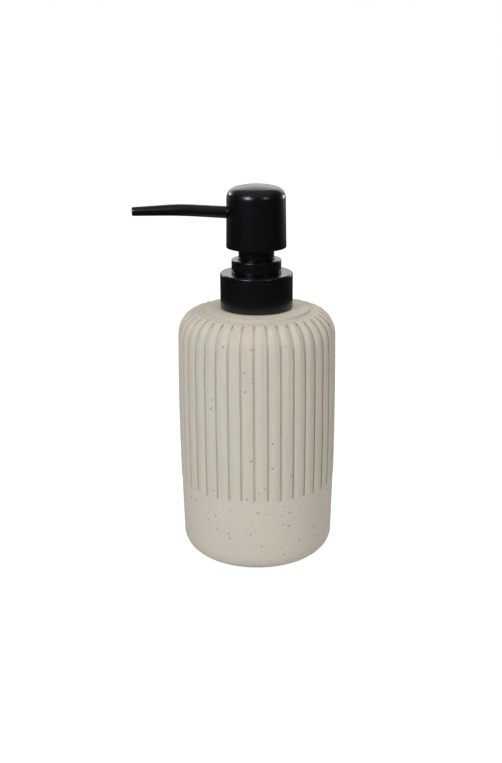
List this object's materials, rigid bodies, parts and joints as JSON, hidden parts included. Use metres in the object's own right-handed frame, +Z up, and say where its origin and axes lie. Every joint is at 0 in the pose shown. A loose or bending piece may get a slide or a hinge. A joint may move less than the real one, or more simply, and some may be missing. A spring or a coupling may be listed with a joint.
{
  "type": "soap pump dispenser",
  "caption": "Cylindrical ribbed cement-look bottle with a rounded shoulder and a screw-on lotion pump: round press head and a slim drooping spout.",
  "frame": {"origin": "centre of the foot, on the surface the bottle stands on", "axes": "+Z up along the bottle's axis, -X along the spout at rest, -Y the side the bottle is seen from"},
  "size_m": [0.0941, 0.0748, 0.1788],
  "materials": {
    "cement": "cast, matt, warm greige",
    "black_plastic": "satin moulded black",
    "natural_plastic": "natural polypropylene",
    "gasket_rubber": "matt",
    "foam_pad": "closed-cell foam",
    "steel": "stainless"
  },
  "bodies": {
    "bottle": {"bottle_body": "cement", "neck_insert": "natural_plastic", "base_pad": "foam_pad"},
    "pump_unit": {"pump_housing": "natural_plastic", "lock_collar": "black_plastic", "neck_gasket": "gasket_rubber", "dip_tube": "natural_plastic", "ball_cage": "natural_plastic", "return_spring": "steel"},
    "closure": {"closure_core": "natural_plastic", "closure_sleeve": "black_plastic"},
    "plunger": {"piston_seat": "natural_plastic"},
    "head": {"stem": "natural_plastic", "actuator_core": "black_plastic", "head_shell": "black_plastic", "spout": "black_plastic"},
    "piston": {"piston": "natural_plastic"},
    "inlet_ball": {"inlet_ball": "steel"}
  },
  "joints": [
    {"name": "pump_rise", "type": "slide", "parent": "bottle", "child": "pump_unit", "axis": [0, 0, 1], "range_m": [0, 0.00634]},
    {"name": "closure_unscrew", "type": "hinge", "parent": "pump_unit", "child": "closure", "pos_m": [0, 0, 0.13], "axis": [0, 0, 1], "range_deg": [0, 540]},
    {"name": "head_press", "type": "slide", "parent": "pump_unit", "child": "plunger", "axis": [0, 0, -1], "range_m": [0, 0.0113], "stiffness_N_per_m": 900, "springref_m": -0.006, "deforming": ["return_spring"]},
    {"name": "head_swivel", "type": "hinge", "parent": "plunger", "child": "head", "pos_m": [0, 0, 0.15], "axis": [0, 0, 1], "continuous": true},
    {"name": "piston_shift", "type": "slide", "parent": "plunger", "child": "piston", "axis": [0, 0, 1], "range_m": [0, 0.001]},
    {"name": "inlet_ball_lift", "type": "slide", "parent": "pump_unit", "child": "inlet_ball", "axis": [0, 0, 1], "range_m": [0, 0.0012]}
  ],
  "couplings": [
    {"joint": "closure_unscrew", "follows": "pump_rise", "rad_per_m": 1485.4}
  ]
}
